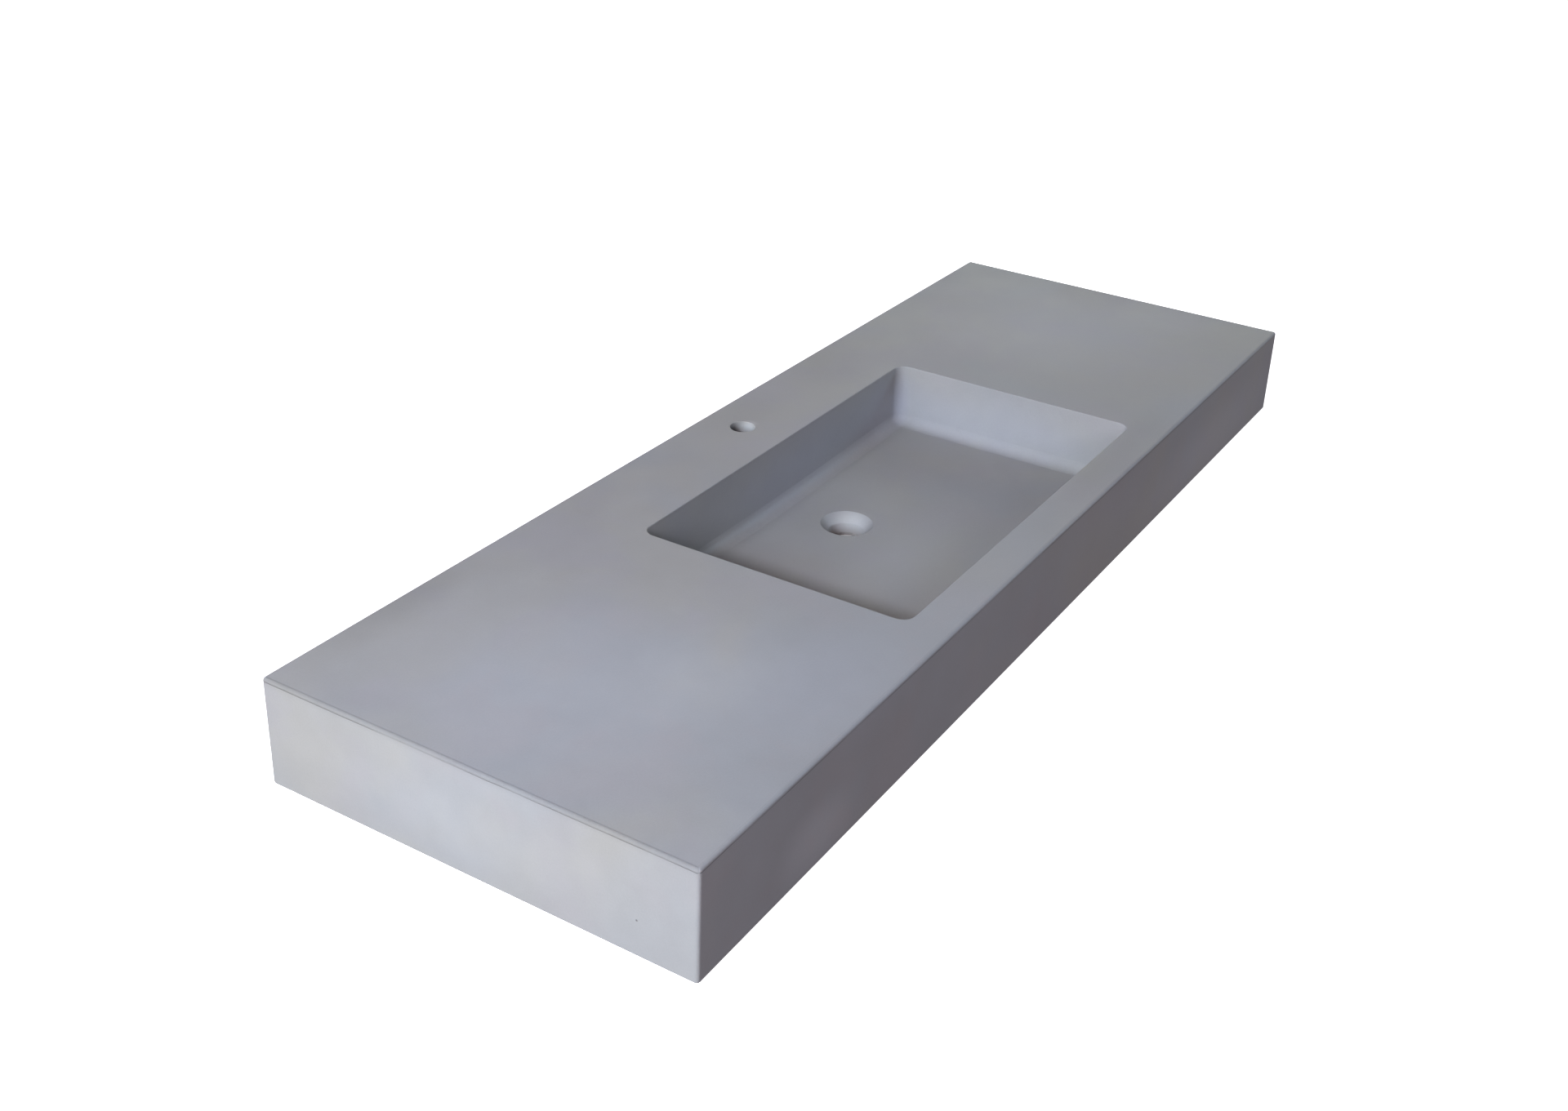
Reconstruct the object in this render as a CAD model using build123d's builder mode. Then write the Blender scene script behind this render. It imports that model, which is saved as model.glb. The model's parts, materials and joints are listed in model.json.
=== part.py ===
from build123d import *
import math
import os

# A wide wall-hung washbasin cast in fibre-reinforced concrete: one casting with
# a deck, a sunk rectangular bowl, and aprons that hide a hollow underside. Four
# concealed steel brackets stand in the hollow and carry it.
# Frame: millimetres, +X along the front to the right as one stands before it,
# +Y towards the wall, +Z up. The origin is the centre of the footprint, on the
# plane that the aprons' lower edges rest on.

# Casting
overall_width = 1500.0
overall_depth = 508.0
overall_height = 123.0
apron_thickness = 24.0
deck_thickness = 24.0
top_edge_radius = 3.4
upright_edge_radius = 4.0
base_edge_radius = 2.5
hollow_corner_radius = 14.0
hollow_ceiling_radius = 8.0

# Bowl; its floor's height is at the waste, over the resting plane
bowl_width = 602.0
bowl_front_rim = 49.0
bowl_back_ledge = 119.0
bowl_floor_height = 33.0
bowl_corner_radius = 16.0
bowl_foot_radius = 15.0
bowl_rim_radius = 1.2
bowl_wall_lean = 2.5
bowl_floor_fall = 5.5
bowl_wall_thickness = 24.0
bowl_underside_gap = 5.0

# Waste outlet and tap hole
waste_from_bowl_back = 95.5
waste_hole_diameter = 45.0
waste_seat_diameter = 66.0
waste_seat_depth = 11.0
waste_seat_rim_radius = 1.2
waste_seat_foot_radius = 2.5
tap_hole_diameter = 32.0
tap_hole_from_wall = 56.0
tap_hole_edge_radius = 0.5

# Ribs under the deck, which bear on the brackets
rib_width = 64.0
rib_depth = 12.0
rib_side_slope = 6.0

# Brackets: wall plate, square arm and gusset, welded together
bracket_spacing = 190.0
plate_width = 90.0
plate_thickness = 6.0
plate_clearance = 3.0
plate_corner_radius = 6.0
anchor_hole_diameter = 11.0
anchor_edge_distance = 14.0
arm_size = 30.0
arm_wall = 2.5
arm_corner_radius = 4.0
arm_front_gap = 56.0
gusset_thickness = 5.0
gusset_reach = 110.0
gusset_drop = 44.0
gusset_tip = 8.0

# End plugs and rubber pads
plug_flange = 3.0
plug_depth = 14.0
plug_clearance = 0.1
pad_thickness = 4.0
pad_width = 28.0
pad_corner_radius = 3.0
pad_from_wall = 30.0
pad_past_bolt = 30.0

# Hold-down bolts, which run up through the arm into sockets cast in the ribs
bolt_from_wall = 158.0
bolt_diameter = 8.0
bolt_hole_diameter = 9.0
bolt_engagement = 19.4
bolt_point_chamfer = 0.8
across_flats = 13.0
bolt_head_height = 5.3
washer_diameter = 24.0
washer_hole_diameter = 8.4
washer_thickness = 1.6
sleeve_diameter = 14.0
socket_diameter = 14.0
socket_length = 24.0
socket_end = 2.0
thread_clearance = 0.05

# Levelling screws at the arms' front ends, each under a swivel foot
screw_from_arm_end = 26.0
screw_diameter = 8.0
screw_tail = 14.0
screw_key_size = 4.0
screw_key_depth = 5.0
screw_point_chamfer = 0.8
weld_nut_height = 6.5
lock_nut_height = 4.0
foot_diameter = 18.0
foot_thickness = 6.0
foot_edge_radius = 1.0
foot_hole_clearance = 2.0
spigot_diameter = 5.0
spigot_length = 3.0
spigot_clearance = 0.1
foot_gap = 0.3

# Overrun of every cut that goes right through, and how near an edge must lie to
# the height that it is looked for at
overrun = 5.0
match_margin = 0.01

# Places that follow from the sizes above
front_y = -overall_depth / 2
wall_y = overall_depth / 2
end_x = overall_width / 2
hollow_front_y = front_y + apron_thickness
hollow_wall_y = wall_y - apron_thickness
hollow_end_x = end_x - apron_thickness
deck_under = overall_height - deck_thickness
bowl_front_y = front_y + bowl_front_rim
bowl_wall_y = wall_y - bowl_back_ledge
bowl_length = bowl_wall_y - bowl_front_y
bowl_middle_y = (bowl_front_y + bowl_wall_y) / 2
floor_slope = 2 * bowl_floor_fall / bowl_width
block_end_x = bowl_width / 2 + bowl_wall_thickness
block_wall_y = bowl_wall_y + bowl_wall_thickness
waste_y = bowl_wall_y - waste_from_bowl_back
tap_y = wall_y - tap_hole_from_wall
rib_under = deck_under - rib_depth
arm_top = rib_under - pad_thickness
arm_under = arm_top - arm_size
arm_middle_z = (arm_top + arm_under) / 2
arm_wall_y = wall_y - plate_thickness
arm_front_y = hollow_front_y + arm_front_gap
plate_height = rib_under - 2 * plate_clearance
notch_width = plate_width + 2 * plate_clearance
bolt_y = wall_y - bolt_from_wall
screw_y = arm_front_y + screw_from_arm_end
foot_top = rib_under - foot_gap
foot_under = foot_top - foot_thickness
screw_top = foot_under - foot_gap
screw_low = arm_under - weld_nut_height - lock_nut_height - screw_tail
bowl_side_x = (block_end_x + hollow_end_x) / 2
bracket_places = {
    "left_outer": -bowl_side_x - bracket_spacing / 2,
    "left_inner": -bowl_side_x + bracket_spacing / 2,
    "right_inner": bowl_side_x - bracket_spacing / 2,
    "right_outer": bowl_side_x + bracket_spacing / 2,
}
brackets_x = list(bracket_places.values())

os.makedirs("parts", exist_ok=True)


def write(builder, name):
    """Labels a finished piece and writes its file."""
    builder.part.label = name
    export_step(builder.part, f"parts/{name}.step")


def upright_plane(x, y, z):
    """A plane that faces the front, at a point: sketch X is X and sketch Y is Z."""
    return Plane(origin=(x, y, z), x_dir=(1, 0, 0), z_dir=(0, -1, 0))


def side_plane(x):
    """A plane square to the length: sketch X is Y and sketch Y is Z."""
    return Plane(origin=(x, 0, 0), x_dir=(0, 1, 0), z_dir=(1, 0, 0))


# Bowl form: the room inside the bowl, with leaning walls, over a floor that
# falls to the waste as one shallow cone
with BuildPart() as bowl_form:
    with BuildSketch(Plane((0, bowl_middle_y, overall_height))):
        RectangleRounded(bowl_width, bowl_length, bowl_corner_radius)
    with BuildSketch(Plane((0, bowl_middle_y, bowl_floor_height))):
        RectangleRounded(
            bowl_width - 2 * bowl_wall_lean,
            bowl_length - 2 * bowl_wall_lean,
            bowl_corner_radius,
        )
    loft(ruled=True)
    floor_reach = math.hypot(bowl_width, bowl_length)
    with BuildSketch(upright_plane(0, waste_y, bowl_floor_height)):
        with BuildLine():
            Polyline(
                (0, 0),
                (floor_reach, floor_slope * floor_reach),
                (floor_reach, -overrun),
                (0, -overrun),
                close=True,
            )
        make_face()
    revolve(axis=Axis((0, waste_y, 0), (0, 0, 1)), mode=Mode.SUBTRACT)
    floor_face = bowl_form.faces().sort_by(Axis.Z)[0]
    fillet(floor_face.outer_wire().edges(), bowl_foot_radius)

# Hollow form: the space under the deck, round three sides of the bowl
with BuildPart() as hollow_form:
    with BuildSketch() as hollow_plan:
        Rectangle(2 * hollow_end_x, hollow_wall_y - hollow_front_y)
        with Locations((0, (hollow_front_y + block_wall_y) / 2)):
            Rectangle(2 * block_end_x, block_wall_y - hollow_front_y, mode=Mode.SUBTRACT)
        fillet(hollow_plan.vertices(), hollow_corner_radius)
    extrude(amount=deck_under)
    fillet(hollow_form.faces().sort_by(Axis.Z)[-1].edges(), hollow_ceiling_radius)

# Basin shell, the casting
with BuildPart() as basin_shell:
    with BuildSketch():
        Rectangle(overall_width, overall_depth)
    extrude(amount=overall_height)
    fillet(basin_shell.edges().filter_by(Axis.Z), upright_edge_radius)
    fillet(basin_shell.faces().sort_by(Axis.Z)[-1].edges(), top_edge_radius)
    fillet(basin_shell.faces().sort_by(Axis.Z)[0].edges(), base_edge_radius)
    add(hollow_form.part, mode=Mode.SUBTRACT)
    # The bowl's underside stands clear of the resting plane
    with BuildSketch(Plane((0, (hollow_front_y + block_wall_y) / 2, 0))):
        Rectangle(2 * block_end_x, block_wall_y - hollow_front_y)
    extrude(amount=bowl_underside_gap, mode=Mode.SUBTRACT)
    # Ribs from the front apron to the wall side
    for x in brackets_x:
        with BuildSketch(upright_plane(x, hollow_wall_y, rib_under)):
            with BuildLine():
                Polyline(
                    (-rib_width / 2, 0),
                    (rib_width / 2, 0),
                    (rib_width / 2 + rib_side_slope, rib_depth),
                    (-rib_width / 2 - rib_side_slope, rib_depth),
                    close=True,
                )
            make_face()
        extrude(amount=hollow_wall_y - hollow_front_y)
    # Notches in the wall side, where the brackets' plates stand flush
    for x in brackets_x:
        with BuildSketch(upright_plane(x, wall_y, rib_under / 2)):
            Rectangle(notch_width, rib_under)
        extrude(amount=apron_thickness, mode=Mode.SUBTRACT)
    add(bowl_form.part, mode=Mode.SUBTRACT)
    seat_slope = (waste_seat_diameter - waste_hole_diameter) / 2 / waste_seat_depth
    seat_rim_z = bowl_floor_height + floor_slope * waste_seat_diameter / 2
    with Locations((0, waste_y, seat_rim_z)):
        CounterSinkHole(
            waste_hole_diameter / 2,
            waste_seat_diameter / 2,
            counter_sink_angle=2 * math.degrees(math.atan(seat_slope)),
        )
    # The seat's rim and the top of its bore are eased
    for edge_z, radius in (
        (seat_rim_z, waste_seat_rim_radius),
        (seat_rim_z - waste_seat_depth, waste_seat_foot_radius),
    ):
        circles = basin_shell.edges().filter_by(GeomType.CIRCLE)
        fillet(
            circles.filter_by_position(Axis.Z, edge_z - match_margin, edge_z + match_margin),
            radius,
        )
    with Locations((0, tap_y, overall_height)):
        Hole(tap_hole_diameter / 2)
    deck_face = basin_shell.faces().filter_by(Plane.XY).sort_by(Axis.Z)[-1]
    openings = sorted(deck_face.inner_wires(), key=lambda wire: wire.length)
    fillet(openings[-1].edges(), bowl_rim_radius)
    fillet(openings[0].edges(), tap_hole_edge_radius)
    with Locations(*[(x, bolt_y, rib_under) for x in brackets_x]):
        Cylinder(
            socket_diameter / 2,
            socket_length,
            align=(Align.CENTER, Align.CENTER, Align.MIN),
            mode=Mode.SUBTRACT,
        )
write(basin_shell, "basin_shell")

# Wall plate of each bracket, flush with the wall side
for side, x in bracket_places.items():
    with BuildPart() as wall_plate:
        with BuildSketch(upright_plane(x, wall_y, rib_under / 2)):
            RectangleRounded(plate_width, plate_height, plate_corner_radius)
            with GridLocations(
                plate_width - 2 * anchor_edge_distance,
                plate_height - 2 * anchor_edge_distance,
                2,
                2,
            ):
                Circle(anchor_hole_diameter / 2, mode=Mode.SUBTRACT)
        extrude(amount=plate_thickness)
    write(wall_plate, f"{side}_wall_plate")

# Arm of each bracket: a square tube, open to the front, bored for its bolt,
# its levelling screw and, in the top wall alone, the swivel foot
for side, x in bracket_places.items():
    with BuildPart() as arm:
        with BuildSketch(upright_plane(x, arm_wall_y, arm_middle_z)):
            RectangleRounded(arm_size, arm_size, arm_corner_radius)
            RectangleRounded(
                arm_size - 2 * arm_wall,
                arm_size - 2 * arm_wall,
                arm_corner_radius - arm_wall,
                mode=Mode.SUBTRACT,
            )
        extrude(amount=arm_wall_y - arm_front_y)
        with Locations((x, bolt_y, arm_top), (x, screw_y, arm_top)):
            Hole(bolt_hole_diameter / 2)
        with Locations((x, screw_y, arm_top)):
            Hole(foot_diameter / 2 + foot_hole_clearance, depth=arm_wall)
    write(arm, f"{side}_arm")

# Gusset of each bracket, in the corner under the arm
for side, x in bracket_places.items():
    with BuildPart() as gusset:
        with BuildSketch(side_plane(x - gusset_thickness / 2)):
            with BuildLine():
                Polyline(
                    (arm_wall_y, arm_under),
                    (arm_wall_y - gusset_reach, arm_under),
                    (arm_wall_y - gusset_reach, arm_under - gusset_tip),
                    (arm_wall_y, arm_under - gusset_drop),
                    close=True,
                )
            make_face()
        extrude(amount=gusset_thickness)
    write(gusset, f"{side}_gusset")

# Sockets cast in the ribs, blind at the top
with BuildPart() as threaded_sockets:
    with Locations(*[(x, bolt_y, rib_under) for x in brackets_x]):
        Cylinder(
            socket_diameter / 2,
            socket_length,
            align=(Align.CENTER, Align.CENTER, Align.MIN),
        )
    with Locations(*[(x, bolt_y, rib_under) for x in brackets_x]):
        Cylinder(
            bolt_diameter / 2 + thread_clearance,
            socket_length - socket_end,
            align=(Align.CENTER, Align.CENTER, Align.MIN),
            mode=Mode.SUBTRACT,
        )
write(threaded_sockets, "threaded_sockets")

# Crush sleeves, which stand between the arm's walls round the bolt
sleeve_height = arm_size - 2 * arm_wall
with BuildPart() as crush_sleeves:
    for x in brackets_x:
        with BuildSketch(Plane((x, bolt_y, arm_under + arm_wall))):
            Circle(sleeve_diameter / 2)
            Circle(bolt_hole_diameter / 2, mode=Mode.SUBTRACT)
        extrude(amount=sleeve_height)
write(crush_sleeves, "crush_sleeves")

# Rubber pads between the arms and the ribs, with a hole for the bolt
pad_wall_y = wall_y - pad_from_wall
pad_front_y = bolt_y - pad_past_bolt
with BuildPart() as rubber_pads:
    for x in brackets_x:
        with BuildSketch(Plane((x, (pad_wall_y + pad_front_y) / 2, arm_top))):
            RectangleRounded(pad_width, pad_wall_y - pad_front_y, pad_corner_radius)
        extrude(amount=pad_thickness)
        with Locations((x, bolt_y, rib_under)):
            Hole(bolt_hole_diameter / 2, depth=pad_thickness)
write(rubber_pads, "rubber_pads")

# Washers under the bolts' heads
washer_under = arm_under - washer_thickness
with BuildPart() as bolt_washers:
    for x in brackets_x:
        with BuildSketch(Plane((x, bolt_y, washer_under))):
            Circle(washer_diameter / 2)
            Circle(washer_hole_diameter / 2, mode=Mode.SUBTRACT)
        extrude(amount=washer_thickness)
write(bolt_washers, "bolt_washers")


def hexagon_blank(height, name):
    """A hexagon block from the sketch plane up, its corners chamfered at both ends."""
    flat_radius = across_flats / 2
    corner_radius = flat_radius / math.cos(math.radians(30))
    chamfer_height = (corner_radius - flat_radius) * math.tan(math.radians(30))
    with BuildPart() as blank:
        with BuildSketch():
            RegularPolygon(flat_radius, 6, major_radius=False)
        extrude(amount=height)
        with BuildSketch(Plane.XZ):
            with BuildLine():
                Polyline(
                    (0, 0),
                    (flat_radius, 0),
                    (corner_radius, chamfer_height),
                    (corner_radius, height - chamfer_height),
                    (flat_radius, height),
                    (0, height),
                    close=True,
                )
            make_face()
        revolve(axis=Axis.Z, mode=Mode.INTERSECT)
    blank.part.label = name
    return blank.part


# Hold-down bolts, heads below the arms
bolt_length = rib_under + bolt_engagement - washer_under
bolt_head = hexagon_blank(bolt_head_height, "bolt_head")
with BuildPart() as hold_down_bolt:
    add(bolt_head)
    Cylinder(
        bolt_diameter / 2,
        bolt_head_height + bolt_length,
        align=(Align.CENTER, Align.CENTER, Align.MIN),
    )
    chamfer(hold_down_bolt.faces().sort_by(Axis.Z)[-1].edges(), bolt_point_chamfer)
with BuildPart() as hold_down_bolts:
    with Locations(*[(x, bolt_y, washer_under - bolt_head_height) for x in brackets_x]):
        add(hold_down_bolt.part)
write(hold_down_bolts, "hold_down_bolts")

# Weld nuts under the arms, and lock nuts under them, round the levelling screws
for nut_height, nut_low, name in (
    (weld_nut_height, arm_under - weld_nut_height, "weld_nuts"),
    (lock_nut_height, arm_under - weld_nut_height - lock_nut_height, "lock_nuts"),
):
    nut_blank = hexagon_blank(nut_height, name)
    with BuildPart() as nuts:
        with Locations(*[(x, screw_y, nut_low) for x in brackets_x]):
            add(nut_blank)
        with Locations(*[(x, screw_y, nut_low + nut_height) for x in brackets_x]):
            Hole(screw_diameter / 2 + thread_clearance, depth=nut_height)
    write(nuts, name)

# Plugs in the arms' open ends
with BuildPart() as arm_end_plugs:
    for x in brackets_x:
        with BuildSketch(upright_plane(x, arm_front_y, arm_middle_z)):
            RectangleRounded(arm_size, arm_size, arm_corner_radius)
        extrude(amount=plug_flange)
        plug_size = arm_size - 2 * (arm_wall + plug_clearance)
        with BuildSketch(upright_plane(x, arm_front_y, arm_middle_z)):
            RectangleRounded(plug_size, plug_size, arm_corner_radius - arm_wall)
        extrude(amount=-plug_depth)
write(arm_end_plugs, "arm_end_plugs")

# Swivel foot of each levelling screw, with a blind bore for the screw's spigot
for side, x in bracket_places.items():
    with BuildPart() as foot:
        with BuildSketch(Plane((x, screw_y, foot_under))):
            Circle(foot_diameter / 2)
        extrude(amount=foot_thickness)
        fillet(foot.edges(), foot_edge_radius)
        with BuildSketch(Plane((x, screw_y, foot_under))):
            Circle(spigot_diameter / 2 + spigot_clearance)
        extrude(amount=spigot_length, mode=Mode.SUBTRACT)
    write(foot, f"{side}_levelling_foot")

# Levelling screws: turned from below by a hexagon key
for side, x in bracket_places.items():
    with BuildPart() as screw:
        with BuildSketch(Plane((x, screw_y, screw_low))):
            Circle(screw_diameter / 2)
        extrude(amount=screw_top - screw_low)
        chamfer(screw.edges(), screw_point_chamfer)
        with BuildSketch(Plane((x, screw_y, screw_top))):
            Circle(spigot_diameter / 2)
        extrude(amount=spigot_length)
        with BuildSketch(Plane((x, screw_y, screw_low))):
            RegularPolygon(screw_key_size / 2, 6, major_radius=False)
        extrude(amount=screw_key_depth, mode=Mode.SUBTRACT)
    write(screw, f"{side}_levelling_screw")
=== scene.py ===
import json
import math
import random

import bmesh
import bpy
from mathutils import Matrix, Vector


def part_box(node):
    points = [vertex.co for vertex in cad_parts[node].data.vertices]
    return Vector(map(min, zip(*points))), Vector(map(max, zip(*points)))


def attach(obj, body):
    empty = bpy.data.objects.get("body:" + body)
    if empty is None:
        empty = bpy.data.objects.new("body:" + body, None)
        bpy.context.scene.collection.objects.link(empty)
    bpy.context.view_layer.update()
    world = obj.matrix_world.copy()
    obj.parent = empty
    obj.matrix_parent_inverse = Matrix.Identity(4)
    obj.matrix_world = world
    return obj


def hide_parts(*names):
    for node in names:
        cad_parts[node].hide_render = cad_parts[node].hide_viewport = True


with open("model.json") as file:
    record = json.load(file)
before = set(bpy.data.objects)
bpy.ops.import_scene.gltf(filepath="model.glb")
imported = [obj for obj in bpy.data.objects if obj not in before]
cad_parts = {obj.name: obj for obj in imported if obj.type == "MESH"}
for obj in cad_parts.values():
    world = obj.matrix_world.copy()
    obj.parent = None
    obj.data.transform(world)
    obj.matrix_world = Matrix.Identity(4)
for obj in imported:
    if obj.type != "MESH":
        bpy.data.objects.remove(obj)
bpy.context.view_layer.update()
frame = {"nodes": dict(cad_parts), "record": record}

nodes = frame["nodes"]
mm = 0.001
shellLow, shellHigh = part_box("basin_shell")
leftEnd, frontFace, deckTop = shellLow[0], shellLow[1], shellHigh[2]
print("frame loaded:", len(nodes), "nodes")


# camera, fitted to the corners of the casting and the bowl in the photograph
cameraSetup = {
    "place": (-1.7123, -0.9038, 1.0616),
    "azimuth": -59.487,
    "elevation": 26.024,
    "roll": 2.481,
    "lens": 40.55,
    "sensor": 36.0,
    "shift": (-0.0126, -0.0557),
    "clip": (0.05, 50.0),
}


def addCamera(setup):
    data = bpy.data.cameras.new("basinCamera")
    camera = bpy.data.objects.new("basinCamera", data)
    bpy.context.collection.objects.link(camera)
    side, lift = math.radians(setup["azimuth"]), math.radians(setup["elevation"])
    looking = Vector((-math.sin(side) * math.cos(lift), math.cos(side) * math.cos(lift), -math.sin(lift)))
    roll = Matrix.Rotation(math.radians(setup["roll"]), 3, "Z")
    camera.rotation_euler = (looking.to_track_quat("-Z", "Y").to_matrix() @ roll).to_euler()
    camera.location = setup["place"]
    data.sensor_width = setup["sensor"]
    data.lens = setup["lens"]
    data.shift_x, data.shift_y = setup["shift"]
    data.clip_start, data.clip_end = setup["clip"]
    bpy.context.scene.camera = camera


addCamera(cameraSetup)
print("camera set")


# the nodes of one material, with helpers that every finish below shares
class FinishNodes:
    def __init__(self, name):
        self.material = bpy.data.materials.new(name)
        self.material.use_nodes = True
        self.tree = self.material.node_tree
        self.tree.nodes.clear()
        output = self.add("ShaderNodeOutputMaterial")
        self.shader = self.add("ShaderNodeBsdfPrincipled")
        self.join(self.shader.outputs["BSDF"], output.inputs["Surface"])
        self.place = self.add("ShaderNodeTexCoord").outputs["Object"]

    def add(self, kind, **settings):
        node = self.tree.nodes.new(kind)
        for key, value in settings.items():
            setattr(node, key, value)
        return node

    def join(self, source, target):
        self.tree.links.new(source, target)

    def feed(self, target, value):
        if isinstance(value, bpy.types.NodeSocket):
            self.join(value, target)
        else:
            target.default_value = value

    def maths(self, operation, first, second=0.0):
        node = self.add("ShaderNodeMath", operation=operation)
        self.feed(node.inputs[0], first)
        self.feed(node.inputs[1], second)
        return node.outputs[0]

    def total(self, *values):
        result = values[0]
        for value in values[1:]:
            result = self.maths("ADD", result, value)
        return result

    def product(self, *values):
        result = values[0]
        for value in values[1:]:
            result = self.maths("MULTIPLY", result, value)
        return result

    # fields laid over each other, each in its own depth
    def layers(self, *parts):
        return self.total(*(self.product(field, depth) for field, depth in parts))

    # a noise turned into a swing to both sides of nothing
    def swing(self, field, depth):
        return self.product(self.maths("SUBTRACT", field, 0.5), depth)

    def axes(self):
        node = self.add("ShaderNodeSeparateXYZ")
        self.join(self.place, node.inputs[0])
        return node.outputs[0], node.outputs[1], node.outputs[2]

    def mapped(self, stretch=(1, 1, 1), turn=(0, 0, 0), shift=(0, 0, 0)):
        node = self.add("ShaderNodeMapping")
        self.join(self.place, node.inputs["Vector"])
        node.inputs["Scale"].default_value = stretch
        node.inputs["Rotation"].default_value = [math.radians(angle) for angle in turn]
        node.inputs["Location"].default_value = shift
        return node.outputs[0]

    def noise(self, scale=1.0, detail=3.0, roughness=0.5, distortion=0.0, **mapping):
        node = self.add("ShaderNodeTexNoise")
        self.join(self.mapped(**mapping) if mapping else self.place, node.inputs["Vector"])
        node.inputs["Scale"].default_value = scale
        node.inputs["Detail"].default_value = detail
        node.inputs["Roughness"].default_value = roughness
        node.inputs["Distortion"].default_value = distortion
        return node.outputs["Fac"]

    # distance to the nearest cell's middle, and two numbers that differ from cell to cell
    def cells(self, scale):
        node = self.add("ShaderNodeTexVoronoi")
        self.join(self.place, node.inputs["Vector"])
        node.inputs["Scale"].default_value = scale
        split = self.add("ShaderNodeSeparateColor")
        self.join(node.outputs["Color"], split.inputs[0])
        return node.outputs["Distance"], split.outputs[0], split.outputs[1]

    # a field's stretch from low to high becomes one from newLow to newHigh
    def spread(self, field, low, high, newLow=0.0, newHigh=1.0):
        node = self.add("ShaderNodeMapRange", interpolation_type="SMOOTHSTEP")
        self.join(field, node.inputs["Value"])
        node.inputs["From Min"].default_value = low
        node.inputs["From Max"].default_value = high
        node.inputs["To Min"].default_value = newLow
        node.inputs["To Max"].default_value = newHigh
        return node.outputs[0]

    # one up to near, nothing from far on
    def fade(self, field, near, far):
        return self.spread(field, near, far, 1.0, 0.0)

    def blendColour(self, share, first, second):
        node = self.add("ShaderNodeMix", data_type="RGBA")
        self.feed(node.inputs[0], share)
        self.feed(node.inputs[6], first)
        self.feed(node.inputs[7], second)
        return node.outputs[2]

    def blendValue(self, share, first, second):
        node = self.add("ShaderNodeMix", data_type="FLOAT")
        self.feed(node.inputs[0], share)
        self.feed(node.inputs[2], first)
        self.feed(node.inputs[3], second)
        return node.outputs[0]

    def shaded(self, colour, tone):
        node = self.add("ShaderNodeVectorMath", operation="SCALE")
        self.feed(node.inputs[0], colour if isinstance(colour, bpy.types.NodeSocket) else colour[:3])
        self.feed(node.inputs["Scale"], tone)
        return node.outputs[0]

    # distance from a point, in shares of a reach along each axis
    def farFrom(self, middle, reach):
        node = self.add("ShaderNodeMapping", vector_type="TEXTURE")
        self.join(self.place, node.inputs["Vector"])
        node.inputs["Location"].default_value = middle
        node.inputs["Scale"].default_value = reach
        length = self.add("ShaderNodeVectorMath", operation="LENGTH")
        self.join(node.outputs[0], length.inputs[0])
        return length.outputs["Value"]

    def bump(self, height, strength=1.0):
        node = self.add("ShaderNodeBump")
        self.join(height, node.inputs["Height"])
        node.inputs["Strength"].default_value = strength
        node.inputs["Distance"].default_value = 1.0     # heights are in metres
        return node.outputs[0]

    def finishAs(self, colour, roughness, normal=None, metallic=0.0):
        self.feed(self.shader.inputs["Base Color"], colour)
        self.feed(self.shader.inputs["Roughness"], roughness)
        self.shader.inputs["Metallic"].default_value = metallic
        if normal is not None:
            self.join(normal, self.shader.inputs["Normal"])
        return self.material


# the dictionaries of the finishes hold noises as noise takes them, and what spread or fade takes
# after its field: two numbers for the field's stretch, or four with the values that it becomes

# cast concrete: three greys in drifts, then clouds, mottle and sand grain
greyLook = {
    "cool": (0.257, 0.266, 0.276, 1.0),
    "warm": (0.270, 0.269, 0.260, 1.0),
    "mauve": (0.266, 0.264, 0.271, 1.0),
    # painted light: the bluish grey that lit faces blend towards, for the colour of the light on them
    "blue": (0.252, 0.265, 0.298, 1.0),
    "noises": {
        "drift": {"scale": 2.6, "roughness": 0.55, "distortion": 0.5, "shift": (3.1, 0.4, 1.7)},
        "tint": {"scale": 8.0, "detail": 4.0, "roughness": 0.6, "distortion": 0.5, "shift": (0.3, 5.2, 2.6)},
        "clouds": {"scale": 6.0, "detail": 5.0, "roughness": 0.6, "distortion": 0.4},
        "mottle": {"scale": 30.0, "detail": 4.0, "roughness": 0.6, "distortion": 0.2},
        "grain": {"scale": 520.0, "detail": 2.0, "roughness": 0.6},
    },
    "warmShare": (0.40, 0.60),              # by the drift
    "mauveShare": (0.46, 0.66, 0.0, 0.8),   # by the tint
    "swings": {"drift": 0.10, "clouds": 0.17, "mottle": 0.13, "grain": 0.10},
    "placeFade": (0.1, 1.0),                # shares of a place's reach
    "placeRagged": 0.5,                     # how far the clouds push that fade about
}
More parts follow.
